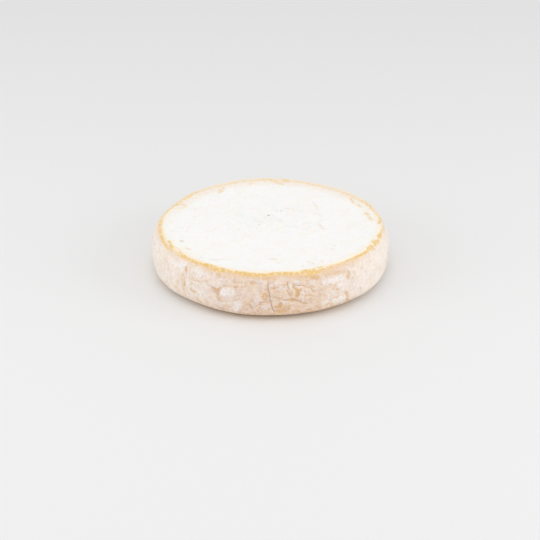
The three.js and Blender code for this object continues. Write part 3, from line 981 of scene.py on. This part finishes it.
def rind_material(shape, colours):
    """The rind's finish, from the place of each point on the smooth section."""
    material = bpy.data.materials.new("rind")
    material.use_nodes = True
    tree = material.node_tree
    tree.nodes.clear()
    graph = Graph(tree)
    rest = graph.add("ShaderNodeAttribute", {"attribute_name": REST_PLACE}, {}, "Vector")
    skin = Skin(graph, rest * (1 / MM), shape)
    colour = rind_colour(skin, colours)
    grain = graph.noise(skin.place, 1.3, 3, 0.6)
    height = grain * 0.6 + graph.noise(skin.place, 0.5, 2, 0.6) * 0.25
    inputs = {"Strength": 0.5, "Distance": 0.0004, "Height": height}
    bump = graph.add("ShaderNodeBump", {}, inputs, "Normal")
    shader = graph.add(
        "ShaderNodeBsdfPrincipled",
        {},
        {
            "Base Color": colour,
            "Roughness": grain.fade(0.3, 0.7, 0.6, 0.8),
            "Normal": bump,
            "Specular IOR Level": 0.3,
            "Subsurface Weight": 0.15,
            "Subsurface Radius": (1.0, 0.6, 0.4),
            "Subsurface Scale": 0.0008,
        },
    )
    graph.add("ShaderNodeOutputMaterial", {}, {"Surface": shader})
    return material


class REBLOCHON_OT_rind(Operator):
    """Models the whole rind, from its foot to its bloomed top"""

    bl_idname = "reblochon.rind"
    bl_label = "Rind"

    def execute(self, context):
        shape = context.scene.reblochon_shape
        piece = start_round(shape, section_rings(shape))
        piece.name = "cheese_rind"
        piece.data.name = "cheese_rind"
        apply_relief(piece, shape)
        centre_on_solid(piece, *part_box("cheese_wheel"))
        piece.data.materials.append(rind_material(shape, context.scene.reblochon_colours))
        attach(piece, "root")
        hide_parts("cheese_wheel")
        return {"FINISHED"}


class REBLOCHON_OT_studio(Operator):
    """Sets the plain pale floor, the soft light and the camera"""

    bl_idname = "reblochon.studio"
    bl_label = "Studio"

    def execute(self, context):
        studio = context.scene.reblochon_studio
        context.scene.view_settings.view_transform = "Standard"
        add_floor(studio)
        add_lights(context.scene, studio)
        add_camera(context.scene, studio)
        return {"FINISHED"}


def add_floor(studio):
    bpy.ops.object.select_all(action="DESELECT")
    width = 6
    under_foot = -0.0001  # a hair lower than the foot, so that the two faces do not share one plane
    bpy.ops.mesh.primitive_plane_add(size=width, location=(0, 0, under_foot))
    floor = bpy.context.object
    floor.name = "floor"
    material = bpy.data.materials.new("floor")
    material.use_nodes = True
    shader = material.node_tree.nodes["Principled BSDF"]
    shader.inputs["Base Color"].default_value = (*studio.floor, 1)
    shader.inputs["Roughness"].default_value = 0.9
    floor.data.materials.append(material)


def add_lights(scene, studio):
    world = bpy.data.worlds.new("sky")
    world.use_nodes = True
    world.node_tree.nodes["Background"].inputs["Color"].default_value = (1, 1, 1, 1)
    world.node_tree.nodes["Background"].inputs["Strength"].default_value = studio.sky
    scene.world = world
    lights = [
        ("overhead", (-0.1, -0.15, 0.9), 0.8, studio.overhead),
        ("left_side", (-0.8, -0.25, 0.35), 0.6, studio.left),
        ("right_side", (0.8, -0.25, 0.35), 0.6, studio.right),
        ("front", (0.3, -0.95, 0.1), 0.5, studio.front),
    ]
    for name, place, size, power in lights:
        turn = (Vector(place) - MIDDLE).to_track_quat("Z", "Y").to_euler()
        bpy.ops.object.light_add(type="AREA", location=place, rotation=turn)
        light = bpy.context.object
        light.name = name
        light.data.size = size
        light.data.energy = power


def add_camera(scene, studio):
    """The photo's view: the cheese's middle lies a little above the middle of the picture."""
    back = Vector((0, -math.cos(studio.down), math.sin(studio.down)))
    place = MIDDLE + back * studio.distance
    sensor_width = 36
    picture_side, middle_row = 540, 243.7
    pixel = sensor_width / studio.lens / picture_side
    dip = math.atan((picture_side / 2 - middle_row) * pixel)
    bpy.ops.object.camera_add(location=place, rotation=(math.pi / 2 - studio.down - dip, 0, 0))
    camera = bpy.context.object
    camera.data.lens = studio.lens
    camera.data.sensor_width = sensor_width
    scene.camera = camera


class VIEW3D_PT_reblochon(Panel):
    """Lists the cheese's sizes and colours, and the buttons that make it"""

    bl_label = "Reblochon"
    bl_space_type = "VIEW_3D"
    bl_region_type = "UI"
    bl_category = "Reblochon"

    def draw(self, context):
        scene = context.scene
        for group in (scene.reblochon_shape, scene.reblochon_colours, scene.reblochon_studio):
            box = self.layout.box()
            for name in group.__annotations__:
                box.prop(group, name)
        for operator in (REBLOCHON_OT_rind, REBLOCHON_OT_studio):
            self.layout.operator(operator.bl_idname)


CLASSES = (
    RindShape,
    RindColours,
    StudioSettings,
    REBLOCHON_OT_rind,
    REBLOCHON_OT_studio,
    VIEW3D_PT_reblochon,
)


def register():
    for item in CLASSES:
        bpy.utils.register_class(item)
    bpy.types.Scene.reblochon_shape = PointerProperty(type=RindShape)
    bpy.types.Scene.reblochon_colours = PointerProperty(type=RindColours)
    bpy.types.Scene.reblochon_studio = PointerProperty(type=StudioSettings)


def unregister():
    del bpy.types.Scene.reblochon_studio
    del bpy.types.Scene.reblochon_colours
    del bpy.types.Scene.reblochon_shape
    for item in reversed(CLASSES):
        bpy.utils.unregister_class(item)


def main():
    register()
    bpy.ops.reblochon.rind()
    bpy.ops.reblochon.studio()


if __name__ == "__main__":
    main()
